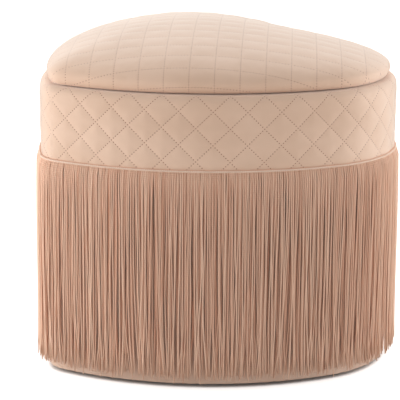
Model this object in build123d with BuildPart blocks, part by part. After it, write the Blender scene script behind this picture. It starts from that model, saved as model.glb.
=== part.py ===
"""Heart-shaped storage pouf: a fringed box on glides with a loose, domed lid.

Sizes are millimetres. The origin lies on the floor under the middle of the plan, +Z is up,
the heart's tip points to -Y and its notch to +Y.
"""
import os
from math import atan2, cos, degrees, hypot, radians, sin, sqrt, tan

from build123d import *

os.makedirs("parts", exist_ok=True)

# Plan of the heart, at the outside of the quilted band
heart_width = 450.0
heart_length = 424.0
tip_radius = 44.0
side_radius = 367.0
lobe_radius = 131.0
notch_radius = 18.0

# Heights above the floor
body_height = 355.0
fringe_top = 270.0
fringe_end = 14.0

# Box
base_thickness = 15.0
rim_thickness = 15.0
wall_thickness = 5.0
post_width = 32.0
post_depth = 20.0

# Covers, padding and lining
cover_thickness = 2.0
band_round = 3.5
padding_thickness = 5.0
sleeve_thickness = 1.5
hem_width = 18.0
lining_thickness = 1.0
floor_panel_thickness = 2.0
dust_cover_thickness = 1.0
dust_cover_margin = 8.0
soft_gap = 0.3

# Fringe
tape_thickness = 1.0
tape_height = 8.0
heading_thickness = 0.9
heading_height = 5.0
strand_count = 400
strand_width = 1.8
strand_depth = 1.7
strand_bite = 0.6

# Glides and fasteners
glide_radius = 11.0
glide_height = 5.0
glide_round = 2.0
glide_inset = 46.0
nail_radius = 1.1
nail_length = 16.0
nail_depth_in_glide = 3.0
screw_radius = 2.0
screw_head_radius = 4.0
screw_tip_radius = 0.25
screw_clearance = 0.3
countersink_angle = 90.0
recess_length = 4.0
recess_width = 0.7
recess_depth = 2.0
frame_screw_length = 42.0
locating_screw_length = 18.0
screw_point = 4.0
staple_count = 32
staple_width = 10.0
staple_wire = 1.0
staple_length = 9.0
staple_margin = 2.5

# Lid
lid_height = 56.0
lid_inset = 10.0
lid_edge_draw = 7.0
lid_bulge_height = 13.5
lid_crown_power = 1.14
lid_board_thickness = 12.0
lid_board_margin = 11.0
lid_lining_margin = 8.0
locating_board_thickness = 9.0
locating_clearance = 2.0
locating_screw_inset = 70.0

# Sections of the domed lid: angles round its edge, below and above the bulge
edge_angles = (90, 60, 30)
crown_angles = tuple(range(0, 85, 7))

# Places along each half of the outline, from the tip (0) to the notch (1)
tip_place = 0.0
side_place = 0.40
lobe_place = 0.70
notch_place = 1.0

# Depths inwards from the outside of the quilted band
padding_in = cover_thickness + padding_thickness
wall_in = padding_in + wall_thickness
post_in = wall_in + post_depth
lining_in = post_in + lining_thickness
post_line = wall_in + post_depth / 2
sleeve_in = padding_in - sleeve_thickness
sleeve_hem_in = padding_in + hem_width
locating_in = lining_in + locating_clearance
tape_out = tape_thickness
heading_out = tape_out + heading_thickness
strand_line = heading_out - strand_bite + strand_depth / 2

# Levels, from the floor up
dust_cover_bottom = glide_height
hem_bottom = dust_cover_bottom + dust_cover_thickness
base_bottom = hem_bottom + sleeve_thickness
base_top = base_bottom + base_thickness
band_bottom = fringe_top - tape_height
rim_top = body_height - cover_thickness
rim_bottom = rim_top - rim_thickness
locating_bottom = body_height - locating_board_thickness
lid_hem_bottom = body_height + lining_thickness
lid_board_bottom = lid_hem_bottom + cover_thickness
lid_top = body_height + lid_height

# Centres of the arcs that make the heart, and the angles at which they meet
lobe_x = heart_width / 2 - lobe_radius
lobe_y = heart_length / 2 - lobe_radius
tip_y = tip_radius - heart_length / 2
tip_to_lobe = hypot(lobe_x, lobe_y - tip_y)
tip_reach = side_radius - tip_radius
lobe_reach = side_radius - lobe_radius
along = (tip_reach**2 - lobe_reach**2 + tip_to_lobe**2) / (2 * tip_to_lobe)
across = sqrt(tip_reach**2 - along**2)
side_x = (along * lobe_x - across * (lobe_y - tip_y)) / tip_to_lobe
side_y = tip_y + (along * (lobe_y - tip_y) + across * lobe_x) / tip_to_lobe
notch_y = lobe_y + sqrt((lobe_radius + notch_radius) ** 2 - lobe_x**2)
side_start = degrees(atan2(tip_y - side_y, -side_x))
side_end = degrees(atan2(lobe_y - side_y, lobe_x - side_x))
lobe_end = degrees(atan2(notch_y - lobe_y, -lobe_x))


def half_arcs(inset, size=1.0):
    """Arcs of the right half, tip to notch, as centre, radius, start angle and sweep."""
    arcs = (
        ((0, tip_y), tip_radius - inset, -90, side_start + 90),
        ((side_x, side_y), side_radius - inset, side_start, side_end - side_start),
        ((lobe_x, lobe_y), lobe_radius - inset, side_end, lobe_end - side_end),
        ((0, notch_y), notch_radius + inset, lobe_end - 180, 90 - lobe_end),
    )
    return [((x * size, y * size), r * size, start, sweep) for (x, y), r, start, sweep in arcs]


class Heart(BaseSketchObject):
    """Filled heart, its outline moved inwards by inset and then scaled about the origin."""

    def __init__(self, inset, size=1.0, mode=Mode.ADD):
        with BuildSketch() as filled:
            with BuildLine():
                for centre, radius, start, sweep in half_arcs(inset, size):
                    CenterArc(centre, radius, start, sweep)
                mirror(about=Plane.YZ)
            make_face()
        super().__init__(filled.sketch, mode=mode)


with BuildLine() as half_outline:
    for arc_centre, arc_radius, arc_start, arc_sweep in half_arcs(0):
        CenterArc(arc_centre, arc_radius, arc_start, arc_sweep)
half_wire = half_outline.wire()


def edge_location(place, inset, side=1, height=0.0, flip=0.0):
    """Location inset from a place on the right half or its mirror image, with X along the edge."""
    point = half_wire.position_at(place)
    tangent = half_wire.tangent_at(place)
    x = point.X - inset * tangent.Y
    y = point.Y + inset * tangent.X
    turn = degrees(atan2(tangent.Y, tangent.X))
    return Location((side * x, y, height), (flip, 0, side * turn))


def edge_row(inset, count, height=0.0):
    """Evenly spaced locations all round the outline, alike on both halves."""
    each_side = count // 2
    steps = [(index + 0.5) / each_side for index in range(each_side)]
    return [edge_location(step, inset, side, height) for side in (1, -1) for step in steps]


def wood_screw(length):
    """Countersunk screw with a cross recess, its head flush with the origin, pointing down."""
    with BuildPart() as screw:
        with Locations((0, 0, -length)):
            Cone(
                bottom_radius=screw_tip_radius,
                top_radius=screw_radius,
                height=screw_point,
                align=(Align.CENTER, Align.CENTER, Align.MIN),
            )
        with Locations((0, 0, screw_point - length)):
            Cylinder(
                screw_radius, length - screw_point, align=(Align.CENTER, Align.CENTER, Align.MIN)
            )
        Cone(
            bottom_radius=screw_radius,
            top_radius=screw_head_radius,
            height=(screw_head_radius - screw_radius) / tan(radians(countersink_angle / 2)),
            align=(Align.CENTER, Align.CENTER, Align.MAX),
        )
        for slot in ((recess_length, recess_width), (recess_width, recess_length)):
            Box(
                *slot,
                recess_depth,
                align=(Align.CENTER, Align.CENTER, Align.MAX),
                mode=Mode.SUBTRACT,
            )
    return screw.part


def staple():
    """Wire staple with its back on the origin and its legs pointing up."""
    with BuildPart() as wire:
        Box(
            staple_width,
            staple_wire,
            staple_wire,
            align=(Align.CENTER, Align.CENTER, Align.MIN),
        )
        with GridLocations(staple_width - staple_wire, 0, 2, 1):
            Box(
                staple_wire,
                staple_wire,
                staple_length,
                align=(Align.CENTER, Align.CENTER, Align.MIN),
            )
    return wire.part


def lid_section(angle, crown):
    """Height share and plan scale of the lid's edge at an angle below or above its bulge."""
    if crown:
        rise = sin(radians(angle)) / sin(radians(crown_angles[-1]))
        return rise**lid_crown_power, cos(radians(angle)) ** lid_crown_power
    draw = lid_edge_draw / (heart_width / 2)
    return -sin(radians(angle)), 1 - draw * (1 - cos(radians(angle)))


def lid_sections(skin):
    """Heights, insets and scales of the domed lid's sections, skin millimetres inside it."""
    bottom = lid_hem_bottom + (cover_thickness if skin else 0.0)
    bulge = lid_hem_bottom + lid_bulge_height
    rows = [(bulge - bottom, angle, False) for angle in edge_angles]
    rows += [(lid_top - skin - bulge, angle, True) for angle in crown_angles]
    sections = []
    for rise, angle, crown in rows:
        share, size = lid_section(angle, crown)
        sections.append((bulge + rise * share, lid_inset + skin, size))
    return sections


# Posts and glides share their places: name, place along the outline and side of the heart
post_places = (
    ("tip", tip_place, 1),
    ("right_side", side_place, 1),
    ("left_side", side_place, -1),
    ("right_lobe", lobe_place, 1),
    ("left_lobe", lobe_place, -1),
    ("notch", notch_place, 1),
)
base_screw_places = [
    edge_location(place, post_line, side, base_bottom, 180) for _, place, side in post_places
]
rim_screw_places = [
    edge_location(place, post_line, side, rim_top) for _, place, side in post_places
]
locating_screw_places = [
    edge_location(place, locating_screw_inset, side, locating_bottom, 180)
    for _, place, side in post_places
]

# Base board, with countersunk holes for the screws that hold the posts
with BuildPart() as base_board:
    with BuildSketch(Plane.XY.offset(base_bottom)):
        Heart(wall_in)
    extrude(amount=base_thickness)
    with Locations(*base_screw_places):
        CounterSinkHole(
            screw_radius + screw_clearance,
            screw_head_radius + screw_clearance,
            base_thickness,
            counter_sink_angle=countersink_angle,
        )
base_board.part.label = "base_board"
export_step(base_board.part, "parts/base_board.step")

# Posts between base board and rim, shaped to the wall they stand against
for name, place, side in post_places:
    with BuildPart() as post:
        with BuildSketch(Plane.XY.offset(base_top)):
            Heart(wall_in)
            Heart(post_in, mode=Mode.SUBTRACT)
            with Locations(edge_location(place, post_line, side)):
                Rectangle(post_width, 2 * post_depth, mode=Mode.INTERSECT)
        extrude(amount=rim_bottom - base_top)
    post.part.label = f"{name}_post"
    export_step(post.part, f"parts/{name}_post.step")

# Top rim, a flat ring on the posts
with BuildPart() as top_rim:
    with BuildSketch(Plane.XY.offset(rim_bottom)):
        Heart(wall_in)
        Heart(post_in, mode=Mode.SUBTRACT)
    extrude(amount=rim_thickness)
    with Locations(*rim_screw_places):
        CounterSinkHole(
            screw_radius + screw_clearance,
            screw_head_radius + screw_clearance,
            rim_thickness,
            counter_sink_angle=countersink_angle,
        )
top_rim.part.label = "top_rim"
export_step(top_rim.part, "parts/top_rim.step")

# Bent wall panels, which meet at the tip and at the notch
for name, keep in (("right_wall", Keep.TOP), ("left_wall", Keep.BOTTOM)):
    with BuildPart() as wall:
        with BuildSketch(Plane.XY.offset(base_bottom)):
            Heart(padding_in)
            Heart(wall_in, mode=Mode.SUBTRACT)
        extrude(amount=rim_top - base_bottom)
        split(bisect_by=Plane.YZ, keep=keep)
    wall.part.label = name
    export_step(wall.part, f"parts/{name}.step")

# Foam layer behind the quilted band
with BuildPart() as band_padding:
    with BuildSketch(Plane.XY.offset(band_bottom)):
        Heart(cover_thickness)
        Heart(padding_in, mode=Mode.SUBTRACT)
    extrude(amount=rim_top - band_bottom)
band_padding.part.label = "band_padding"
export_step(band_padding.part, "parts/band_padding.step")

# Quilted band cover, folded in over the rim as the seat of the lid
with BuildPart() as band_cover:
    with BuildSketch(Plane.XY.offset(band_bottom)):
        Heart(0)
    extrude(amount=body_height - band_bottom)
    fillet(band_cover.faces().sort_by(Axis.Z)[-1].edges(), band_round)
    with BuildSketch(Plane.XY.offset(band_bottom)):
        Heart(cover_thickness)
    extrude(amount=rim_top - band_bottom, mode=Mode.SUBTRACT)
    with BuildSketch(Plane.XY.offset(rim_top)):
        Heart(lining_in)
    extrude(amount=cover_thickness, mode=Mode.SUBTRACT)
band_cover.part.label = "band_cover"
export_step(band_cover.part, "parts/band_cover.step")

# Plain sleeve behind the fringe, with its hem turned in under the base
with BuildPart() as lower_cover:
    with BuildSketch(Plane.XY.offset(hem_bottom)):
        Heart(sleeve_in)
    extrude(amount=band_bottom - hem_bottom)
    with BuildSketch(Plane.XY.offset(base_bottom)):
        Heart(padding_in)
    extrude(amount=band_bottom - base_bottom, mode=Mode.SUBTRACT)
    with BuildSketch(Plane.XY.offset(hem_bottom)):
        Heart(sleeve_hem_in)
    extrude(amount=sleeve_thickness, mode=Mode.SUBTRACT)
lower_cover.part.label = "lower_cover"
export_step(lower_cover.part, "parts/lower_cover.step")

# Header tape, sewn to the lower edge of the band
with BuildPart() as fringe_tape:
    with BuildSketch(Plane.XY.offset(band_bottom)):
        Heart(-tape_out)
        Heart(0, mode=Mode.SUBTRACT)
    extrude(amount=tape_height)
fringe_tape.part.label = "fringe_tape"
export_step(fringe_tape.part, "parts/fringe_tape.step")

# Fringe: four-sided strands that hang from a thin heading on the tape
with BuildPart() as fringe:
    with BuildSketch(Plane.XY.offset(fringe_end)):
        with Locations(*edge_row(-strand_line, strand_count)):
            Rectangle(strand_width, strand_depth)
    extrude(amount=fringe_top - heading_height / 2 - fringe_end)
    with BuildSketch(Plane.XY.offset(fringe_top - heading_height)):
        Heart(-heading_out)
        Heart(-tape_out, mode=Mode.SUBTRACT)
    extrude(amount=heading_height)
fringe.part.label = "fringe"
export_step(fringe.part, "parts/fringe.step")

# Lining of the storage space
with BuildPart() as lining_wall:
    with BuildSketch(Plane.XY.offset(base_top)):
        Heart(post_in)
        Heart(lining_in, mode=Mode.SUBTRACT)
    extrude(amount=rim_top - base_top)
lining_wall.part.label = "lining_wall"
export_step(lining_wall.part, "parts/lining_wall.step")

with BuildPart() as lining_floor:
    with BuildSketch(Plane.XY.offset(base_top)):
        Heart(lining_in + soft_gap)
    extrude(amount=floor_panel_thickness)
lining_floor.part.label = "lining_floor"
export_step(lining_floor.part, "parts/lining_floor.step")

# Dust cover under the base, over the hem
with BuildPart() as dust_cover:
    with BuildSketch(Plane.XY.offset(dust_cover_bottom)):
        Heart(sleeve_in + dust_cover_margin)
    extrude(amount=dust_cover_thickness)
dust_cover.part.label = "dust_cover"
export_step(dust_cover.part, "parts/dust_cover.step")

# Glides, each held by a nail that is moulded into it
glide_places = [row for row in post_places if row[0] != "notch"]
for name, place, side in glide_places:
    with BuildPart() as glide:
        with Locations(edge_location(place, glide_inset, side)):
            Cylinder(
                glide_radius, glide_height, align=(Align.CENTER, Align.CENTER, Align.MIN)
            )
        fillet(glide.edges().sort_by(Axis.Z)[0], glide_round)
    glide.part.label = f"{name}_glide"
    export_step(glide.part, f"parts/{name}_glide.step")

with BuildPart() as glide_nails:
    nail_bottom = glide_height - nail_depth_in_glide
    with Locations(
        *[edge_location(place, glide_inset, side, nail_bottom) for _, place, side in glide_places]
    ):
        Cylinder(nail_radius, nail_length, align=(Align.CENTER, Align.CENTER, Align.MIN))
glide_nails.part.label = "glide_nails"
export_step(glide_nails.part, "parts/glide_nails.step")

# Screws and staples of the box
frame_screw = wood_screw(frame_screw_length)
with BuildPart() as base_screws:
    with Locations(*base_screw_places):
        add(frame_screw)
base_screws.part.label = "base_screws"
export_step(base_screws.part, "parts/base_screws.step")

with BuildPart() as rim_screws:
    with Locations(*rim_screw_places):
        add(frame_screw)
rim_screws.part.label = "rim_screws"
export_step(rim_screws.part, "parts/rim_screws.step")

wire_staple = staple()
with BuildPart() as base_staples:
    with Locations(*edge_row(wall_in + staple_margin, staple_count, hem_bottom)):
        add(wire_staple)
base_staples.part.label = "base_staples"
export_step(base_staples.part, "parts/base_staples.step")

# Lid cover: a crowned skin that is drawn in at its lower edge and hemmed under the board
lid_hem_in = lid_inset + lid_edge_draw + hem_width
with BuildPart() as lid_cover:
    for height, inset, size in lid_sections(0.0):
        with BuildSketch(Plane.XY.offset(height)):
            Heart(inset, size)
    loft(ruled=True)
    for height, inset, size in lid_sections(cover_thickness):
        with BuildSketch(Plane.XY.offset(height)):
            Heart(inset, size)
    loft(ruled=True, mode=Mode.SUBTRACT)
    with BuildSketch(Plane.XY.offset(lid_hem_bottom)):
        Heart(lid_hem_in)
    extrude(amount=cover_thickness, mode=Mode.SUBTRACT)
lid_cover.part.label = "lid_cover"
export_step(lid_cover.part, "parts/lid_cover.step")

# Lid board, and the foam that crowns it and wraps its edge
lid_board_in = lid_inset + lid_board_margin
with BuildPart() as lid_board:
    with BuildSketch(Plane.XY.offset(lid_board_bottom)):
        Heart(lid_board_in)
    extrude(amount=lid_board_thickness)
lid_board.part.label = "lid_board"
export_step(lid_board.part, "parts/lid_board.step")

with BuildPart() as lid_foam:
    for height, inset, size in lid_sections(cover_thickness + soft_gap):
        with BuildSketch(Plane.XY.offset(height)):
            Heart(inset, size)
    loft(ruled=True)
    with BuildSketch(Plane.XY.offset(lid_board_bottom)):
        Heart(lid_board_in)
    extrude(amount=lid_board_thickness, mode=Mode.SUBTRACT)
lid_foam.part.label = "lid_foam"
export_step(lid_foam.part, "parts/lid_foam.step")

# Lining under the lid, and the board that keeps the lid in the opening
with BuildPart() as lid_lining:
    with BuildSketch(Plane.XY.offset(body_height)):
        Heart(lid_inset + lid_edge_draw + lid_lining_margin)
    extrude(amount=lining_thickness)
lid_lining.part.label = "lid_lining"
export_step(lid_lining.part, "parts/lid_lining.step")

with BuildPart() as locating_board:
    with BuildSketch(Plane.XY.offset(locating_bottom)):
        Heart(locating_in)
    extrude(amount=locating_board_thickness)
    with Locations(*locating_screw_places):
        CounterSinkHole(
            screw_radius + screw_clearance,
            screw_head_radius + screw_clearance,
            locating_board_thickness,
            counter_sink_angle=countersink_angle,
        )
locating_board.part.label = "locating_board"
export_step(locating_board.part, "parts/locating_board.step")

# Screws and staples of the lid
locating_screw = wood_screw(locating_screw_length)
with BuildPart() as locating_screws:
    with Locations(*locating_screw_places):
        add(locating_screw)
locating_screws.part.label = "locating_screws"
export_step(locating_screws.part, "parts/locating_screws.step")

lid_staple_line = lid_hem_in - hem_width / 2
with BuildPart() as lid_staples:
    with Locations(*edge_row(lid_staple_line, staple_count, lid_hem_bottom)):
        add(wire_staple)
lid_staples.part.label = "lid_staples"
export_step(lid_staples.part, "parts/lid_staples.step")
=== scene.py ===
"""Heart-shaped fringed pouf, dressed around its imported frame.

Lengths are metres. The heart's tip points to -Y, its notch to +Y, and the floor is Z = 0.
"""
from math import atan2, cos, hypot, pi, radians, sin, sqrt, tau

import bpy
import numpy as np
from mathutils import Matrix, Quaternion, Vector
from mathutils.kdtree import KDTree


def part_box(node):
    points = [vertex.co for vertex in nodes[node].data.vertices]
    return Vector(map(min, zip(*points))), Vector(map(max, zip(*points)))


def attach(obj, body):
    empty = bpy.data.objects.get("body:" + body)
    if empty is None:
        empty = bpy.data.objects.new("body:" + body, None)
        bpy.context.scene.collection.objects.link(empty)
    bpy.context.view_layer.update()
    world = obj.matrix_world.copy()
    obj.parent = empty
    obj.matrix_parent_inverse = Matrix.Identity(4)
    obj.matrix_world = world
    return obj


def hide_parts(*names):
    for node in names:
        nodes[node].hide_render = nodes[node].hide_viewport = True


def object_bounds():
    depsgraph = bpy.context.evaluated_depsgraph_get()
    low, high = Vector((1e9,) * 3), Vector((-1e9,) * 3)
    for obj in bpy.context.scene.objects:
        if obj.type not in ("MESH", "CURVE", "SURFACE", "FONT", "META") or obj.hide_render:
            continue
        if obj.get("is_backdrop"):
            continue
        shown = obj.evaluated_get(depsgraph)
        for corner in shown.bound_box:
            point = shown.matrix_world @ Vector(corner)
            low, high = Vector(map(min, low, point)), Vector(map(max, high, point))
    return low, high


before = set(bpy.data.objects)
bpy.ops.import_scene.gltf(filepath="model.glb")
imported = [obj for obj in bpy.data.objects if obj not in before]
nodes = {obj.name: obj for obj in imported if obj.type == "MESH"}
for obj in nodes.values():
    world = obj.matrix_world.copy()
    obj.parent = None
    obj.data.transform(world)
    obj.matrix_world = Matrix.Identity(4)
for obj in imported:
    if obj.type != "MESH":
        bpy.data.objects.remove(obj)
cad_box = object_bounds()
bpy.ops.object.select_all(action="DESELECT")

# Places taken from the frame
band_low, band_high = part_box("band_cover")
sleeve_low, sleeve_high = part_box("lower_cover")
tape_low, tape_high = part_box("fringe_tape")
lid_low, lid_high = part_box("lid_cover")
rim_low, rim_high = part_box("top_rim")
_, lining_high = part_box("lining_wall")
floor_panel_low, floor_panel_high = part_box("lining_floor")
dust_low, dust_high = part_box("dust_cover")
lid_lining_low, lid_lining_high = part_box("lid_lining")

# Plan of the heart
heart_width = band_high.x - band_low.x
heart_length = band_high.y - band_low.y
tip_radius = 0.044
side_radius = 0.367
lobe_radius = 0.131
notch_radius = 0.018
measure_steps = 2000

# Quilting: cells of cloth along one side of a square, and stitches along it
quilt_cells = 10
square_side = 0.0285
square_stitches = 8

# Where a stitch fades out across its line and, in stitches, along it; and the channel that it lies in
stitch_side = (0.0004, 0.0007)
stitch_end = (0.11, 0.19)
channel_side = (0.0002, 0.0024)

# Puff of the padded cloth between its stitches
lid_puff = 0.0007
band_puff = 0.0011
puff_pressure = 25.0
puff_mass = 0.1
puff_slack = 0.006
puff_frames = 10

# Lid: its widest line above its underside, its crown, and the cloth pulled over its edge
lid_bulge = 0.012
lid_rise = 0.0062
lid_edge_draw = 0.007
lid_crown_power = 1.13
lid_round = 0.17
lid_fall = 0.11
lid_fall_start = 0.05
lid_fall_end = 0.16
lid_cloth_reach = 0.31
lid_hem = 0.009
lid_pull = 0.034
lid_tucked = 0.002
lid_edge_steps = 6000
lid_crown_steps = 60
lid_lip_steps = 24
lid_hem_steps = 6

# Quilting of the lid: a line runs on outwards below the widest line where it faces the edge by these shares
lid_line_turn = (0.5, 0.8)
lid_quilt_turn = radians(51.5)
lid_square_across = 0.0292
lid_square_along = 0.0246
# Share of the painted shade in the stitch holes on the lid, fainter than on the band
lid_quilt_start = (-0.0524, -0.1591)
lid_stitch_shade_share = 0.8

# Quilted band, from behind the fringe, over its shoulder and the rim, into the box
band_inset = 0.0019
band_shoulder = 0.008
band_fold = 0.0012
band_tuck = 0.011
band_skirt = 0.005
band_turn_steps = 13
band_held_rows = 2
band_diamonds = 35
diamond_height = 0.0392
diamond_start = 0.0115
diamond_level = 0.33765
diamond_tilt = 0.0038
diamond_tilt_middle = 0.21
rim_reach = 0.0205

# Rows of strands: name, count, distance outwards, yarn tone and seed; the tone is darker for rows further
# back, painted shade between the strands
strand_rows = (
    ("front", 520, 0.0018, 0.8, 11),
    ("middle", 520, 0.0003, 0.5, 12),
    ("back", 460, -0.0012, 0.25, 13),
)
strand_sides = 5
strand_steps = 10
strand_step_power = 0.85
strand_radius = 0.00082
strand_radius_spread = (0.8, 1.1)
strand_end_taper = 0.8
strand_place_spread = 0.15

# Strands outwards: from the header, swelling out just below it, then drawn in a little towards their ends
strand_root = -0.0004
strand_root_power = 5
strand_swell = 0.0033
strand_swell_share = 0.045
strand_draw_in = 0.0008
strand_stray = 0.0005
strand_flick = 0.0015
strand_flick_power = 8

# Strands sideways: leaning, drawn into clumps, bent, and loose at their ends
strand_lean = 0.0032
strand_lean_power = 1.5
clump_waves = ((61, 0.0012), (97, 0.0010), (158, 0.0006), (229, 0.0004))
clump_drift = 1.2
clump_power = 0.9
strand_bend = 0.0006
strand_bends = (0.6, 1.8)
strand_end_lean = 0.0036
strand_end_lean_power = 5

# Height of the strands' ends, and their tone
strand_end = 0.0170
strand_end_spread = 0.0026
strand_end_limits = (-0.007, 0.010)
long_strand_share = 0.02
long_strand_end = 0.0085
strand_tone_spread = 0.2
strand_tip_tone = 0.5
strand_tip_power = 12

# Header of the fringe, and the gimp along its top
header_bury = 0.0025
header_top_out = -0.0008
header_low_out = 0.0002
header_round = 0.0006
header_lip = 0.0005
# Dark tone of the header tape: painted shade along the crease above the gimp
painted_header_shade = 0.2
header_columns = 700
gimp_radius = 0.0012
gimp_lay = 0.24
gimp_out = -0.0002
gimp_drop = 0.0011
gimp_twist = 0.0026
gimp_turn_steps = 5
gimp_sides = 8
gimp_tone = 1.0

# Cloth of sleeve and linings; its unevenness as seed, waves round the heart and their height
ripple_spread = (0.5, 1.0)
sleeve_thickness = 0.0012
sleeve_columns = 560
sleeve_rows = 30
sleeve_waves = (5, (9, 14, 23, 31, 47), 0.0008)
sleeve_puckers = (6, (60, 75, 88, 104), 0.0006)
pucker_fade = 25
hem_round = 0.003
hem_round_steps = 7
hem_turn = 0.016
hem_sag = 0.002
lining_thickness = 0.0007
lining_gap = 0.0008
lining_columns = 420
lining_rows = 30
lining_waves = (21, (7, 11, 17, 26), 0.0006)
sheet_columns = 320
sheet_rows = 26
sheet_middle = 0.04
sheet_waves = (3, 5, 8, 13)
sheet_unevenness = 0.0003
sheet_thickness_share = 0.8
cloth_weave = 0.0008
yarn_twist = 0.0024

# Camera that took the photograph, from a fit to its outlines
picture_width = 400
focal_pixels = 1650
sensor_millimetres = 36.0
camera_distance = 2.0191
camera_height = 0.7422
camera_azimuth = radians(54.939)
camera_yaw = radians(54.646)
camera_pitch = radians(15.454)
camera_roll = radians(0.345)

# Floor and surroundings
floor_size = 24
floor_colour = (0.9, 0.86, 0.83, 1.0)
floor_glow = 0.65
# Painted contact shadow: reach of the ambient occlusion that dims the floor's glow near the object, and the
# shares it fades between
contact_shadow = 0.008
contact_shadow_edge = (0.8, 0.45)
surroundings = 0.52

# Lamps: name, place to the camera's right, up and behind the object, size and power
lamps = (
    ("top light", 0.0, 2.0, 1.2, 1.6, 14.2),
    ("left light", -1.58, 0.35, -0.22, 1.3, 22),
    ("right light", 1.6, 0.4, 0.14, 1.3, 16.5),
)
lamp_aim = Vector((0, 0, 0.25))


# Outline

class Outline:
    """Heart of tangent arcs, walked from the tip by way of the right lobe and the notch."""

    def __init__(self):
        lobe = np.array((heart_width / 2 - lobe_radius, heart_length / 2 - lobe_radius))
        tip = np.array((0.0, tip_radius - heart_length / 2))
        span = hypot(*(lobe - tip))
        tip_reach = side_radius - tip_radius
        lobe_reach = side_radius - lobe_radius
        along = (tip_reach**2 - lobe_reach**2 + span**2) / (2 * span)
        across = sqrt(tip_reach**2 - along**2)
        ahead = (lobe - tip) / span
        side = tip + along * ahead + across * np.array((-ahead[1], ahead[0]))
        notch = np.array((0.0, lobe[1] + sqrt((lobe_radius + notch_radius) ** 2 - lobe[0] ** 2)))
        side_start = atan2(*(tip - side)[::-1])
        side_end = atan2(*(lobe - side)[::-1])
        lobe_end = atan2(*(notch - lobe)[::-1])
        self.centres = np.array((tip, side, lobe, notch))
        self.radii = np.array((tip_radius, side_radius, lobe_radius, -notch_radius))
        self.starts = np.array((-pi / 2, side_start, side_end, lobe_end))
        ends = np.array((side_start, side_end, lobe_end, pi / 2))
        lengths = np.abs(self.radii * (ends - self.starts))
        self.marks = np.concatenate(((0.0,), np.cumsum(lengths)))
        self.half = self.marks[-1]
        self.length = 2 * self.half

    def at(self, walked, inset=0.0):
        """Points inset from the outline, and outward normals, at distances walked along it."""
        walked, inset = np.broadcast_arrays(np.mod(walked, self.length), inset)
        left = walked > self.half
        near = np.where(left, self.length - walked, walked)
        last = len(self.radii) - 1
        which = np.clip(np.searchsorted(self.marks, near, side="right") - 1, 0, last)
        turn = self.starts[which] + (near - self.marks[which]) / self.radii[which]
        normal = np.stack((np.cos(turn), np.sin(turn)), -1)
        point = self.centres[which] + (self.radii[which] - inset)[..., None] * normal
        mirror = np.stack((np.where(left, -1.0, 1.0), np.ones_like(near)), -1)
        return point * mirror, normal * mirror

    def steps(self, count):
        """Evenly spaced distances all round."""
        return np.arange(count) * self.length / count

    def length_at(self, inset):
        """Length of the closed line at an inset."""
        plan, _ = self.at(self.steps(measure_steps), inset)
        return float(np.linalg.norm(plan - np.roll(plan, -1, axis=0), axis=1).sum())


outline = Outline()


# Meshes

def new_piece(name, points, faces, finish, body, slot):
    """Mesh object from points and faces, with its finish, riding on a body."""
    mesh = bpy.data.meshes.new(name)
    corners = faces if isinstance(faces, list) else faces.tolist()
    mesh.from_pydata(np.asarray(points, float).tolist(), [], corners)
    mesh.polygons.foreach_set("use_smooth", np.ones(len(mesh.polygons), bool))
    mesh.materials.append(finish)
    piece = bpy.data.objects.new(name, mesh)
    bpy.context.scene.collection.objects.link(piece)
    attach(piece, body)
    return piece


def points_of(piece):
    """Corner points of a mesh as an array."""
    points = np.empty(len(piece.data.vertices) * 3)
    piece.data.vertices.foreach_get("co", points)
    return points.reshape(-1, 3)


def set_points(piece, points):
    """Moves the corner points of a mesh."""
    piece.data.vertices.foreach_set("co", np.asarray(points, float).ravel())
    piece.data.update()


def mark(piece, name, *parts):
    """Stores a vector of three parts at each corner point for the finish to read."""
    layer = piece.data.attributes.new(name, "FLOAT_VECTOR", "POINT")
    layer.data.foreach_set("vector", np.column_stack(parts).astype(float).ravel())


def apply_modifier(piece, modifier):
    """Applies one modifier of a piece."""
    bpy.context.view_layer.objects.active = piece
    bpy.ops.object.modifier_apply(modifier=modifier.name)


def subdivide(piece):
    """One smooth subdivision."""
    modifier = piece.modifiers.new("Subdivision", "SUBSURF")
    modifier.levels = modifier.render_levels = 1
    apply_modifier(piece, modifier)


def thicken(piece, thickness):
    """Gives a sheet its thickness, on the side away from its normals."""
    modifier = piece.modifiers.new("Solidify", "SOLIDIFY")
    modifier.thickness = thickness
    modifier.offset = -1
    apply_modifier(piece, modifier)


def ring_faces(around, rows, closed=False):
    """Quads between the rows of a ring, facing outwards; closed joins the last row to the first."""
    column, row = np.meshgrid(np.arange(around), np.arange(rows if closed else rows - 1))
    column, row = column.ravel(), row.ravel()
    after = (column + 1) % around
    low = row * around
    high = (row + 1) % rows * around
    return np.stack((low + column, low + after, high + after, high + column), 1)


def swept_ring(walked, insets, heights):
    """Points of a profile of insets and heights swept round the heart, row by row."""
    plan, _ = outline.at(walked[None, :], np.asarray(insets)[:, None] + np.zeros_like(walked)[None, :])
    level = np.broadcast_to(np.asarray(heights)[:, None], plan.shape[:2])
    return np.concatenate((plan, level[..., None]), -1).reshape(-1, 3)


def lengths_along(first, second):
    """Length of a line up to each of its points."""
    return np.concatenate(((0.0,), np.cumsum(np.hypot(np.diff(first), np.diff(second)))))


# Finishes

def srgb(red, green, blue):
    """Linear colour of 8-bit picture values."""
    shares = [value / 255 for value in (red, green, blue)]
    return tuple(s / 12.92 if s <= 0.04045 else ((s + 0.055) / 1.055) ** 2.4 for s in shares) + (1.0,)


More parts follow.
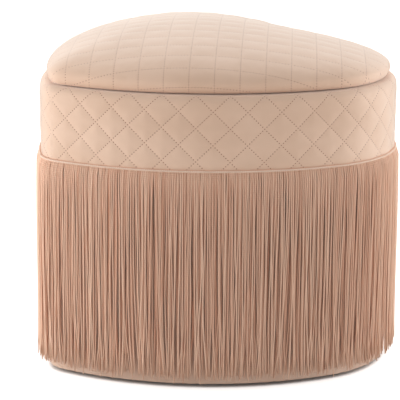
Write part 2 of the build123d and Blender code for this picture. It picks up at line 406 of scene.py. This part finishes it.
class Value:
    """An output of a finish's node tree; arithmetic on it adds Math nodes."""

    def __init__(self, finish, socket):
        self.finish = finish
        self.socket = socket

    def __add__(self, other):
        return self.finish.math("ADD", self, other)

    def __radd__(self, other):
        return self.finish.math("ADD", other, self)

    def __sub__(self, other):
        return self.finish.math("SUBTRACT", self, other)

    def __mul__(self, other):
        return self.finish.math("MULTIPLY", self, other)

    def __abs__(self):
        return self.finish.math("ABSOLUTE", self)

    def __round__(self):
        return self.finish.math("ROUND", self)

    def wave(self):
        """Sine."""
        return self.finish.math("SINE", self)

    def either(self, other):
        """The larger of two values."""
        return self.finish.math("MAXIMUM", self, other)

    def fade(self, start, end):
        """Smooth step from 1 at start to 0 at end."""
        limits = {"From Min": start, "From Max": end, "To Min": 1.0, "To Max": 0.0}
        smooth = {"interpolation_type": "SMOOTHSTEP"}
        return self.finish.node("ShaderNodeMapRange", smooth, {"Value": self, **limits})


class Nodes:
    """Node tree whose values are written as expressions."""

    def __init__(self, tree):
        self.tree = tree

    def node(self, kind, settings=None, inputs=None, output=0):
        """Adds a node with its settings and the values or links of its sockets."""
        node = self.tree.nodes.new(kind)
        for key, value in (settings or {}).items():
            setattr(node, key, value)
        for key, value in (inputs or {}).items():
            if isinstance(value, Value):
                self.tree.links.new(value.socket, node.inputs[key])
            else:
                node.inputs[key].default_value = value
        return Value(self, node.outputs[output])

    def math(self, operation, *values):
        """Result of a Math node."""
        return self.node("ShaderNodeMath", {"operation": operation}, dict(enumerate(values)))

    def seen_directly(self):
        """1 for what the camera sees, itself, in gloss or through glass."""
        camera, glossy, through = (
            self.node("ShaderNodeLightPath", output=kind)
            for kind in ("Is Camera Ray", "Is Glossy Ray", "Is Transmission Ray")
        )
        return camera.either(glossy).either(through)


class Finish(Nodes):
    """Material made of a Principled shader."""

    def __init__(self, name, **constants):
        self.material = bpy.data.materials.new(name)
        self.material.use_nodes = True
        super().__init__(self.material.node_tree)
        self.shader = self.tree.nodes["Principled BSDF"]
        for socket, value in constants.items():
            self.shader.inputs[socket.replace("_", " ")].default_value = value

    def place(self):
        """Object coordinates."""
        return self.node("ShaderNodeTexCoord", output="Object")

    def marked(self, name):
        """Parts of a vector stored at the corner points."""
        vector = self.node("ShaderNodeAttribute", {"attribute_name": name}, output="Vector")
        return [self.node("ShaderNodeSeparateXYZ", None, {0: vector}, part) for part in range(3)]

    def stretched(self, vector, scale):
        """A place scaled by parts."""
        return self.node("ShaderNodeVectorMath", {"operation": "MULTIPLY"}, {0: vector, 1: scale})

    def noise(self, vector, scale, detail=2.0, roughness=0.5):
        """Soft noise over a place."""
        inputs = {"Vector": vector, "Scale": scale, "Detail": detail, "Roughness": roughness}
        return self.node("ShaderNodeTexNoise", None, inputs)

    def mix(self, factor, first, second):
        """Colour between two colours."""
        return self.node("ShaderNodeMix", {"data_type": "RGBA"}, {0: factor, 6: first, 7: second}, 2)

    def bump(self, height, distance, strength):
        """Normal of a fine relief."""
        inputs = {"Height": height, "Distance": distance, "Strength": strength}
        return self.node("ShaderNodeBump", None, inputs)

    def feed(self, **values):
        """Links values that change over the surface to the shader."""
        for socket, value in values.items():
            self.tree.links.new(value.socket, self.shader.inputs[socket.replace("_", " ")])
        return self.material


nude_light = srgb(230, 196, 171)
nude_dark = srgb(223, 188, 162)
# Dark brown of the sunk stitches: painted shade in the stitch holes
painted_stitch_shade = srgb(140, 64, 30)
# Darker brown in the grooves of the yarn's twist: painted shade
painted_twist_shade = srgb(190, 136, 110)


def quilted_velour():
    """Short-pile cloth with a row of sunk stitches along each line of its quilting, darkened by painted shade
    in the stitch holes.
    """
    tint = srgb(255, 245, 236)
    finish = Finish(
        "quilted velour", Sheen_Weight=1.0, Sheen_Roughness=0.5, Specular_IOR_Level=0.75, Sheen_Tint=tint
    )
    across, along, stitch_shade_share = finish.marked("quilt")
    place = finish.place()
    stitches = []
    channels = []
    for line, run in ((across, along), (along, across)):
        off = abs(line - round(line)) * square_side
        dash = abs(run * square_stitches - round(run * square_stitches))
        stitches.append(off.fade(*stitch_side) * dash.fade(*stitch_end))
        channels.append(off.fade(*channel_side))
    stitch = stitches[0].either(stitches[1])
    channel = channels[0].either(channels[1])
    pile = finish.noise(place, scale=1600.0)
    brushed = finish.noise(finish.stretched(place, (14.0, 14.0, 26.0)), scale=1.0, detail=3.0)
    cloth = finish.mix(brushed.fade(0.7, 0.3), nude_light, nude_dark)
    # Painted shade in the stitch holes, by the share marked at each point
    colour = finish.mix(stitch * stitch_shade_share, cloth, painted_stitch_shade)
    relief = pile * 0.25 - stitch * 0.9 - channel * 0.12
    normal = finish.bump(relief, distance=0.0004, strength=0.6)
    return finish.feed(Base_Color=colour, Roughness=0.62 + pile * 0.16, Normal=normal)


def plain_cloth():
    """Woven upholstery cloth of the sleeve."""
    finish = Finish("plain cloth", Specular_IOR_Level=0.15)
    across, along, _ = finish.marked("weave")
    warp = (across * (tau / cloth_weave)).wave()
    weft = (along * (tau / cloth_weave)).wave()
    blotch = finish.noise(finish.place(), scale=18.0, detail=3.0)
    colour = finish.mix(blotch.fade(0.65, 0.35), srgb(243, 215, 196), srgb(236, 205, 184))
    normal = finish.bump(warp * weft, distance=0.0002, strength=0.5)
    return finish.feed(Base_Color=colour, Roughness=0.8 + warp * 0.04, Normal=normal)


def twisted_yarn(name, light, dark):
    """Glossy twisted yarn, each strand a little lighter or darker."""
    tint = srgb(255, 214, 190)
    finish = Finish(
        name, Sheen_Weight=0.2, Sheen_Roughness=0.4, Specular_IOR_Level=0.1, Sheen_Tint=tint
    )
    tone, along, around = finish.marked("yarn")
    twist = (along * (tau / yarn_twist) + around * tau).wave()
    colour = finish.mix(tone, dark, light)
    # Painted shade in the grooves of the twist
    colour = finish.mix(twist.fade(-0.2, -1.0) * 0.2, colour, painted_twist_shade)
    normal = finish.bump(twist, distance=0.00025, strength=0.6)
    return finish.feed(Base_Color=colour, Roughness=0.5 + tone * 0.1, Normal=normal)


def plain_finish(name, light, dark, scale, roughness, relief, stretch=(1, 1, 1), **constants):
    """Surface mottled between two colours by a stretched noise that also roughens it."""
    finish = Finish(name, **constants)
    place = finish.stretched(finish.place(), stretch)
    grain = finish.noise(place, scale, detail=4.0, roughness=0.6)
    colour = finish.mix(grain.fade(0.68, 0.32), light, dark)
    normal = finish.bump(grain, relief, strength=0.5)
    return finish.feed(Base_Color=colour, Roughness=roughness + grain * 0.15, Normal=normal)


velour = quilted_velour()
sleeve_cloth = plain_cloth()
yarn = twisted_yarn("fringe yarn", srgb(253, 217, 192), srgb(228, 175, 147))
header_yarn = twisted_yarn("header yarn", srgb(255, 228, 208), srgb(250, 214, 190))
lining_felt = plain_finish(
    "lining felt",
    srgb(226, 214, 200),
    srgb(208, 194, 178),
    scale=900.0,
    roughness=0.82,
    relief=0.0003,
    Specular_IOR_Level=0.2,
)
dust_felt = plain_finish(
    "dust felt",
    srgb(42, 41, 40),
    srgb(26, 25, 25),
    scale=900.0,
    roughness=0.85,
    relief=0.0003,
    Specular_IOR_Level=0.2,
)
fibreboard = plain_finish(
    "fibreboard",
    srgb(190, 158, 120),
    srgb(166, 134, 98),
    scale=700.0,
    roughness=0.75,
    relief=0.0002,
)
plywood = plain_finish(
    "bent plywood",
    srgb(222, 190, 146),
    srgb(196, 160, 114),
    scale=60.0,
    roughness=0.6,
    relief=0.0003,
    stretch=(1, 1, 0.06),
)
softwood = plain_finish(
    "softwood",
    srgb(232, 200, 150),
    srgb(206, 166, 114),
    scale=90.0,
    roughness=0.6,
    relief=0.0003,
    stretch=(1, 1, 0.04),
)
glide_plastic = plain_finish(
    "glide plastic",
    srgb(46, 42, 40),
    srgb(32, 30, 29),
    scale=1200.0,
    roughness=0.5,
    relief=0.0001,
)
plated_steel = plain_finish(
    "plated steel",
    srgb(205, 204, 200),
    srgb(176, 174, 170),
    scale=800.0,
    roughness=0.28,
    relief=0.00005,
    stretch=(1, 1, 0.2),
    Metallic=1.0,
)

for names, finish in (
    (("base_board", "top_rim", "lid_board", "locating_board"), fibreboard),
    (("left_wall", "right_wall"), plywood),
    ([name for name in nodes if name.endswith("_post")], softwood),
    ([name for name in nodes if name.endswith("_glide")], glide_plastic),
    ([name for name in nodes if name.endswith(("_screws", "_staples", "_nails"))], plated_steel),
):
    for name in names:
        nodes[name].data.materials.clear()
        nodes[name].data.materials.append(finish)


# Quilted pieces

def swell(piece, held, rise):
    """Puffs padded cloth out between its held stitches by cloth simulation, up to a rise."""
    flat = points_of(piece)
    stitched = piece.vertex_groups.new(name="stitched")
    stitched.add(np.flatnonzero(held).tolist(), 1.0, "REPLACE")
    modifier = piece.modifiers.new("Cloth", "CLOTH")
    settings = modifier.settings
    settings.vertex_group_mass = stitched.name
    settings.use_pressure = True
    settings.uniform_pressure_force = puff_pressure
    settings.mass = puff_mass
    settings.shrink_min = -puff_slack
    settings.effector_weights.gravity = 0
    modifier.point_cache.frame_start = 1
    modifier.point_cache.frame_end = puff_frames
    for step in range(1, puff_frames + 1):
        bpy.context.scene.frame_set(step)
    apply_modifier(piece, modifier)
    piece.vertex_groups.clear()
    moved = points_of(piece) - flat
    far = np.linalg.norm(moved, axis=1, keepdims=True)
    set_points(piece, flat + moved * rise / max(rise, far.max()))


def on_stitches(quilt):
    """True for points within half a cell of a quilting line."""
    return (np.abs(quilt - np.round(quilt)) * quilt_cells < 0.5).any(1)


def lid_crown(share):
    """Height of the lid's crown above its widest line, by share of the way from its middle to its edge."""
    crown = lid_high.z + lid_rise - lid_puff - lid_low.z - lid_bulge
    return crown * (1 - np.clip(share, 0, 1) ** (2 / lid_crown_power)) ** (lid_crown_power / 2)


def lid_pull_table():
    """Cloth pulled past the lid's outline, its inset from there and its drop below the widest line."""
    crown_inset = lid_pull * np.linspace(1, 0, lid_crown_steps) ** 2
    crown_height = lid_crown(1 - crown_inset / (heart_length / 2))
    lip = np.radians(np.linspace(0, 90, lid_lip_steps + 1))[1:]
    hem = np.linspace(0, lid_hem, lid_hem_steps + 1)[1:]
    inset = np.concatenate((crown_inset, lid_edge_draw * (1 - np.cos(lip)), lid_edge_draw + hem))
    drop = np.concatenate((-crown_height, lid_bulge * np.sin(lip), np.full(len(hem), lid_bulge)))
    return lengths_along(inset, drop) - lid_pull, inset, drop


def lid_points(cloth, across):
    """Where flat points of the cloth lie: straight on the crown, then pulled square over the edge.

    Also gives how far each point is inside the cut edge, and its place across the quilting. That is its place
    in plan on the crown, and runs on outwards below the widest line where the quilting lies along the edge.
    """
    edge, normal = outline.at(outline.steps(lid_edge_steps), (heart_width - (lid_high.x - lid_low.x)) / 2)
    tree = KDTree(len(edge))
    for number, (x, y) in enumerate(edge):
        tree.insert((x, y, 0), number)
    tree.balance()
    nearest = np.array([tree.find((x, y, 0))[1] for x, y in cloth])
    normal = normal[nearest]
    out = np.einsum("ij,ij->i", cloth - edge[nearest], normal)
    pulled, insets, drops = lid_pull_table()
    inset = np.where(out < -lid_pull, -out, np.interp(out, pulled, insets))
    plan = cloth - normal * (out + inset)[:, None]
    turn = np.arctan2(edge[:, 1], edge[:, 0])
    order = np.argsort(turn)
    reach = np.hypot(*plan.T)
    full = np.interp(np.arctan2(plan[:, 1], plan[:, 0]), turn[order], np.hypot(*edge.T)[order], period=tau)
    share = 2 * reach / (lid_round + np.sqrt(lid_round**2 + 4 * (full - lid_round) * np.minimum(reach, full)))
    back = np.clip((plan[:, 1] - lid_fall_start) / (lid_fall_end - lid_fall_start), 0, 1)
    crown = lid_crown(share) * (1 - lid_fall * back**2 * (3 - 2 * back))
    below = out > pulled[lid_crown_steps - 1]
    level = np.where(below, -np.interp(out, pulled, drops), crown)
    facing = normal @ across
    start, end = lid_line_turn
    run_on = np.clip((np.abs(facing) - start) / (end - start), 0, 1)
    line = plan @ across + np.where(below, 2 * run_on * inset * facing, 0)
    return np.column_stack((plan, lid_low.z + lid_bulge + level)), pulled[-1] - out, line


def quilted_lid():
    """Lid cover: one square-quilted cloth pulled over the crown, round the edge and under the board."""
    cell_sizes = (lid_square_across / quilt_cells, lid_square_along / quilt_cells)
    cells = [
        np.arange(round((-lid_cloth_reach - start) / cell), round((lid_cloth_reach - start) / cell) + 1)
        for start, cell in zip(lid_quilt_start, cell_sizes)
    ]
    first, second = (grid.ravel() for grid in np.meshgrid(*cells))
    quilt = np.stack((first, second), 1) / quilt_cells
    flat = quilt * (lid_square_across, lid_square_along) + lid_quilt_start
    across = (cos(lid_quilt_turn), sin(lid_quilt_turn))
    along = (-sin(lid_quilt_turn), cos(lid_quilt_turn))
    points, inside, line = lid_points(flat @ np.array((across, along)), np.array(across))
    quilt[:, 0] = (line - lid_quilt_start[0]) / lid_square_across
    width = len(cells[0])
    corner = (np.arange(len(cells[1]) - 1)[:, None] * width + np.arange(width - 1)).ravel()
    faces = np.stack((corner, corner + 1, corner + width + 1, corner + width), 1)
    faces = faces[(inside[faces] >= 0).all(1)]
    used, faces = np.unique(faces, return_inverse=True)
    faces = faces.reshape(-1, 4)
    piece = new_piece("quilted_lid", points[used], faces, velour, "lid", "quilted_cover")
    # The third part is the share of painted shade in the stitch holes
    mark(piece, "quilt", quilt[used], np.full(len(used), lid_stitch_shade_share))
    tucked = points[used, 2] < lid_low.z + lid_tucked
    swell(piece, on_stitches(quilt[used]) | tucked, lid_puff)
    subdivide(piece)
    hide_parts("lid_cover", "lid_foam")


def box_inset():
    """Inset of the line where the band's cloth goes down into the box, just outside the lining."""
    return (heart_width - (rim_high.x - rim_low.x)) / 2 + rim_reach


def band_profile():
    """Insets and heights of the band, from behind the fringe, over the shoulder and into the box."""
    quarter = np.radians(np.linspace(0, 90, band_turn_steps))
    inner = box_inset()
    insets = np.concatenate(
        (
            (band_inset,),
            band_inset + band_shoulder * (1 - np.cos(quarter)),
            inner - band_fold * (1 - np.sin(quarter)),
            (inner,),
        )
    )
    heights = np.concatenate(
        (
            (tape_low.z - band_skirt,),
            band_high.z - band_shoulder * (1 - np.sin(quarter)),
            band_high.z - band_fold * (1 - np.cos(quarter)),
            (band_high.z - band_tuck,),
        )
    )
    return insets, heights


def quilted_band():
    """Band cover: diamonds round the upper part of the body, folded in over the rim."""
    insets, heights = band_profile()
    climbed = lengths_along(insets, heights)
    step_round = outline.length / band_diamonds / 2 / quilt_cells
    step_up = diamond_height / 2 / quilt_cells
    around = 2 * band_diamonds * quilt_cells
    low = int(np.ceil((heights[0] - diamond_level) / step_up))
    high = int((climbed[-1] + heights[0] - diamond_level) / step_up)
    column, row = (grid.ravel() for grid in np.meshgrid(np.arange(around), np.arange(low, high + 1)))
    kept = (column + row) % 2 == 0
    column, row = column[kept], row[kept]
    number = {place: count for count, place in enumerate(zip(column.tolist(), row.tolist()))}
    corners = ((0, 0), (1, -1), (2, 0), (1, 1))
    faces = [
        [number[(c + right) % around, r + up] for right, up in corners] for c, r in number if low < r < high
    ]
    walked = diamond_start + column * step_round
    tilt = diamond_tilt * np.sin(tau * (walked - diamond_tilt_middle) / outline.length)
    up = np.clip(diamond_level + row * step_up - tilt - heights[0], 0, climbed[-1])
    inset = np.interp(up, climbed, insets)
    plan, _ = outline.at(walked, inset)
    points = np.column_stack((plan, np.interp(up, climbed, heights)))
    piece = new_piece("quilted_band", points, faces, velour, "body", "quilted_cover")
    quilt = np.stack(((column + row) // 2, (column - row) // 2), 1) / quilt_cells
    # The band's stitches take the full painted shade in their holes
    mark(piece, "quilt", quilt, np.ones(len(quilt)))
    edge = (row <= low + band_held_rows) | (inset > band_shoulder)
    swell(piece, on_stitches(quilt) | edge, band_puff)
    subdivide(piece)
    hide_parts("band_cover", "band_padding")


quilted_lid()
quilted_band()


# Sleeve, fringe and linings

def ripples(walked, seed, waves, height):
    """Soft unevenness along the outline, the same each run."""
    random = np.random.default_rng(seed)
    total = np.zeros_like(walked)
    for wave in waves:
        size = random.uniform(*ripple_spread)
        total += size * np.sin(tau * wave * walked / outline.length + random.uniform(0, tau))
    return total * height / len(waves)


def lower_sleeve():
    """Plain cloth round the lower body, turned in under the base."""
    inset = (heart_width - (sleeve_high.x - sleeve_low.x)) / 2
    quarter = np.radians(np.linspace(90, 0, hem_round_steps))
    bottom = sleeve_low.z - hem_sag
    roll_in = inset + hem_round + np.array((hem_turn, hem_sag * 2))
    roll = inset + hem_round * (1 - np.cos(quarter))
    insets = np.concatenate((roll_in, roll, np.full(sleeve_rows, inset)))
    heights = np.concatenate(
        (
            (sleeve_low.z, sleeve_low.z),
            bottom + hem_round * (1 - np.sin(quarter)),
            np.linspace(bottom + hem_round, sleeve_high.z, sleeve_rows + 1)[1:],
        )
    )
    walked = outline.steps(sleeve_columns)
    points = swept_ring(walked, insets, heights)
    _, normal = outline.at(walked)
    rise = ((heights - sleeve_low.z) / (sleeve_high.z - sleeve_low.z))[:, None]
    wave = ripples(walked, *sleeve_waves) * np.sin(pi * rise)
    pucker = ripples(walked, *sleeve_puckers) * np.exp(-rise * pucker_fade)
    points[:, :2] += np.tile(normal, (len(insets), 1)) * (wave + pucker).reshape(-1, 1)
    faces = ring_faces(len(walked), len(insets))
    piece = new_piece("lower_sleeve", points, faces, sleeve_cloth, "body", "plain_cover")
    climbed = lengths_along(insets, heights)
    across = np.tile(walked, len(insets))
    mark(piece, "weave", across, np.repeat(climbed, len(walked)), np.zeros(len(points)))
    thicken(piece, sleeve_thickness)
    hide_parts("lower_cover")
    outline.length
    climbed[-1]


def fringe_header():
    """Flat header tape that the strands are knotted into, nearly flush with the band at its top; its dark
    tone is painted shade along the crease above the gimp.
    """
    low = -header_low_out - header_round / 4
    high = -header_top_out - header_round / 4
    insets = (header_bury, -header_low_out, low, high, -header_top_out, header_bury)
    bottom = tape_low.z
    top = tape_high.z - gimp_drop + header_lip
    heights = (bottom, bottom, bottom + header_round, top - header_round, top, top)
    walked = outline.steps(header_columns)
    points = swept_ring(walked, insets, heights)
    faces = ring_faces(len(walked), len(insets), True)
    piece = new_piece("fringe_header", points, faces, yarn, "body", "fringe_yarn")
    tone = np.full(len(points), painted_header_shade)
    mark(piece, "yarn", tone, np.tile(walked, len(insets)), np.zeros(len(points)))
    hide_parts("fringe_tape")


def gimp_cord():
    """Two-ply cord along the top of the header."""
    turns = int(outline.length / gimp_twist)
    walked = outline.steps(turns * gimp_turn_steps)
    angle = np.arange(gimp_sides) * tau / gimp_sides
    lay = np.cos(2 * angle[:, None] + tau * turns * walked[None, :] / outline.length)
    radius = gimp_radius * (1 + gimp_lay * lay)
    plan, _ = outline.at(walked[None, :], -(gimp_out + radius * np.cos(angle)[:, None]))
    level = tape_high.z - gimp_drop - gimp_radius + radius * np.sin(angle)[:, None]
    points = np.concatenate((plan, level[..., None]), -1).reshape(-1, 3)
    faces = ring_faces(len(walked), gimp_sides, True)
    piece = new_piece("fringe_gimp", points, faces, header_yarn, "body", "fringe_yarn")
    tone = np.full(len(points), gimp_tone)
    mark(piece, "yarn", tone, np.tile(walked, gimp_sides), np.repeat(angle / tau, len(walked)))


def each_strand(values):
    """Values of single strands, ready to go with the shares along them."""
    return values[:, None]


def fringe_row(name, count, out, painted_row_lightness, seed):
    """One row of hanging strands, drawn into clumps, with loose and uneven ends."""
    random = np.random.default_rng(seed)
    stagger = seed / 3
    place = np.arange(count) + stagger + random.uniform(-strand_place_spread, strand_place_spread, count)
    start = place * outline.length / count
    share = np.insert(np.linspace(0, 1, strand_steps) ** strand_step_power, 1, strand_swell_share)

    top = tape_high.z - gimp_drop - gimp_radius
    end = strand_end + np.clip(random.normal(0, strand_end_spread, count), *strand_end_limits)
    end = np.where(random.random(count) < long_strand_share, long_strand_end, end)
    drop = each_strand(top - end) * share

    sideways = each_strand(random.normal(0, strand_lean, count)) * share**strand_lean_power
    for wave, height in clump_waves:
        phase = tau * wave * start / outline.length + random.uniform(0, tau)
        drift = random.uniform(-clump_drift, clump_drift)
        sideways += height * np.sin(each_strand(phase) + drift * share) * share**clump_power
    bends = each_strand(random.uniform(*strand_bends, count)) * share + each_strand(random.random(count))
    sideways += strand_bend * (np.sin(tau * bends) - np.sin(tau * bends[:, :1]))
    sideways += each_strand(random.normal(0, strand_end_lean, count)) * share**strand_end_lean_power

    hang = out + (strand_root - out) * (1 - share) ** strand_root_power - strand_draw_in * share
    hang = hang + strand_swell * np.minimum(share / strand_swell_share, 1)
    outwards = hang + each_strand(random.normal(0, strand_stray, count)) * share
    outwards += each_strand(np.abs(random.normal(0, strand_flick, count))) * share**strand_flick_power

    plan, normal = outline.at(each_strand(start) + sideways, -outwards)
    along = np.stack((-normal[..., 1], normal[..., 0]), -1)
    angle = np.arange(strand_sides) * tau / strand_sides
    thick = strand_radius * each_strand(random.uniform(*strand_radius_spread, count))
    thick = thick * np.where(share == 1, strand_end_taper, 1.0)
    ring = np.cos(angle)[:, None] * normal[..., None, :] + np.sin(angle)[:, None] * along[..., None, :]
    flat = plan[..., None, :] + thick[..., None, None] * ring
    level = np.broadcast_to((top - drop)[..., None, None], flat.shape[:-1] + (1,))
    points = np.concatenate((flat, level), -1).reshape(-1, 3)

    corners = strand_sides * (strand_steps + 1)
    strand_faces = ring_faces(strand_sides, strand_steps + 1)[:, ::-1].tolist()
    strand_faces.append(list(range(corners - 1, corners - strand_sides - 1, -1)))
    faces = [
        [corner + strand * corners for corner in face] for strand in range(count) for face in strand_faces
    ]
    piece = new_piece(f"fringe_{name}", points, faces, yarn, "body", "fringe_yarn")

    # Tone scatters at random about the row's tone, which is darker for rows further back: painted shade
    tone = each_strand(np.clip(random.normal(painted_row_lightness, strand_tone_spread, count), 0, 1))
    tone = np.repeat((tone + strand_tip_tone * share**strand_tip_power).ravel(), strand_sides)
    hung = np.repeat(drop.ravel(), strand_sides)
    mark(piece, "yarn", tone, hung, np.tile(angle / tau, drop.size))
    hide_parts("fringe")


def heart_sheet(name, inset, level, thickness, finish, body, slot, up):
    """Flat heart of cloth, a little uneven, facing up or down; with its flat size and area."""
    walked = outline.steps(sheet_columns)
    edge, _ = outline.at(walked, inset)
    shares = np.linspace(sheet_middle, 1.0, sheet_rows)
    plan = shares[:, None, None] * edge
    wave = ripples(walked, len(name), sheet_waves, sheet_unevenness)
    arch = 4 * shares * (1 - shares)
    rise = wave[None, :] * arch[:, None]
    points = np.concatenate((plan, (level + rise)[..., None]), -1).reshape(-1, 3)
    centre = len(points)
    points = np.concatenate((points, ((0.0, 0.0, level),)))
    faces = ring_faces(len(walked), len(shares))
    fan = [(i, (i + 1) % len(walked), centre) for i in range(len(walked))]
    if up:
        faces = faces[:, ::-1]
    else:
        fan = [corners[::-1] for corners in fan]
    piece = new_piece(name, points, faces.tolist() + fan, finish, body, slot)
    thicken(piece, thickness)
    width, length = edge.max(0) - edge.min(0)
    after = np.roll(edge, -1, axis=0)
    area = abs(np.dot(edge[:, 0], after[:, 1]) - np.dot(edge[:, 1], after[:, 0])) / 2
    return piece, (float(width), float(length)), float(area)


def lining_wall():
    """Felt round the inside of the box."""
    inset = box_inset() + lining_gap
    walked = outline.steps(lining_columns)
    heights = np.linspace(floor_panel_high.z, lining_high.z - lining_gap, lining_rows)
    points = swept_ring(walked, np.full(len(heights), inset), heights)
    _, normal = outline.at(walked)
    rise = ((heights - heights[0]) / (heights[-1] - heights[0]))[:, None]
    wave = ripples(walked, *lining_waves) * np.sin(pi * rise)
    points[:, :2] -= np.tile(normal, (len(heights), 1)) * np.abs(wave).reshape(-1, 1)
    faces = ring_faces(len(walked), len(heights))[:, ::-1]
    piece = new_piece("lining_cloth", points, faces, lining_felt, "body", "lining")
    thicken(piece, lining_thickness)
    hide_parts("lining_wall")
    flat = (outline.length_at(inset), float(heights[-1] - heights[0]))


def flat_linings():
    """Felt on the floor of the box and under the lid, and the dust cloth under the base."""
    floor_panel = (floor_panel_low, floor_panel_high)
    dust = (dust_low, dust_high)
    lid_lining = (lid_lining_low, lid_lining_high)
    for name, node, (low, high), body, slot, finish, up in (
        ("lining_panel", "lining_floor", floor_panel, "body", "lining", lining_felt, True),
        ("dust_cloth", "dust_cover", dust, "body", "dust_cloth", dust_felt, False),
        ("lid_lining_cloth", "lid_lining", lid_lining, "lid", "lining", lining_felt, False),
    ):
        inset = (heart_width - (high.x - low.x)) / 2
        level = high.z if up else low.z
        thickness = (high.z - low.z) * sheet_thickness_share
        piece, flat, area = heart_sheet(name, inset, level, thickness, finish, body, slot, up)
        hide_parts(node)
        "laid" if up else "stretched"
        "base_board" if body == "body" else "lid_board"


lower_sleeve()
fringe_header()
gimp_cord()
for row in strand_rows:
    fringe_row(*row)
lining_wall()
flat_linings()


# Camera, floor and light

def photo_camera():
    """Camera placed and turned as in the photograph."""
    data = bpy.data.cameras.new("photo camera")
    data.sensor_width = sensor_millimetres
    data.lens = data.sensor_width * focal_pixels / picture_width
    camera = bpy.data.objects.new("photo camera", data)
    bpy.context.scene.collection.objects.link(camera)
    camera.location = (
        camera_distance * sin(camera_azimuth), -camera_distance * cos(camera_azimuth), camera_height
    )
    level = cos(camera_pitch)
    ahead = Vector((-sin(camera_yaw) * level, cos(camera_yaw) * level, -sin(camera_pitch)))
    camera.rotation_mode = "QUATERNION"
    camera.rotation_quaternion = ahead.to_track_quat("-Z", "Y") @ Quaternion((0, 0, 1), camera_roll)
    bpy.context.scene.camera = camera


def studio_floor():
    """Wide pale floor that looks white to the camera and keeps the object's shadow; its glow is dimmed near
    the object by ambient occlusion, a painted contact shadow.
    """
    bpy.ops.mesh.primitive_plane_add(size=floor_size)
    floor = bpy.context.object
    floor.name = "studio_floor"
    finish = Finish(
        "studio white",
        Roughness=0.9,
        Specular_IOR_Level=0.0,
        Base_Color=floor_colour,
        Emission_Strength=floor_glow,
    )
    # Ambient occlusion dims the glow near the object: a painted contact shadow
    open_sky = finish.node("ShaderNodeAmbientOcclusion", None, {"Distance": contact_shadow}, "AO")
    seen = finish.seen_directly() * open_sky.fade(*contact_shadow_edge)
    finish.feed(Emission_Color=finish.mix(seen, (0, 0, 0, 1), (1, 1, 1, 1)))
    floor.data.materials.append(finish.material)
    floor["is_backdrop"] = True


def softbox(name, right, up, back, size, power):
    """Square lamp placed as the camera sees it and aimed at the object."""
    sideways = Vector((cos(camera_yaw), sin(camera_yaw), 0))
    away = Vector((-sin(camera_yaw), cos(camera_yaw), 0))
    data = bpy.data.lights.new(name, "AREA")
    data.size = size
    data.energy = power
    lamp = bpy.data.objects.new(name, data)
    bpy.context.scene.collection.objects.link(lamp)
    lamp.location = sideways * right + away * back + Vector((0, 0, up))
    lamp.rotation_mode = "QUATERNION"
    lamp.rotation_quaternion = (lamp_aim - lamp.location).to_track_quat("-Z", "Y")


def white_surroundings():
    """World that lights softly and looks white to the camera, in gloss and through glass."""
    world = bpy.data.worlds.new("white surroundings")
    bpy.context.scene.world = world
    world.use_nodes = True
    background = world.node_tree.nodes["Background"]
    background.inputs["Color"].default_value = (1, 1, 1, 1)
    seen = Nodes(world.node_tree).seen_directly()
    strength = surroundings + seen * (1 - surroundings)
    world.node_tree.links.new(strength.socket, background.inputs["Strength"])


photo_camera()
studio_floor()
for lamp in lamps:
    softbox(*lamp)
white_surroundings()
bpy.context.scene.view_settings.view_transform = "Standard"

visual_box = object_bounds()
{"cad": [list(c) for c in cad_box], "visual": [list(c) for c in visual_box]}
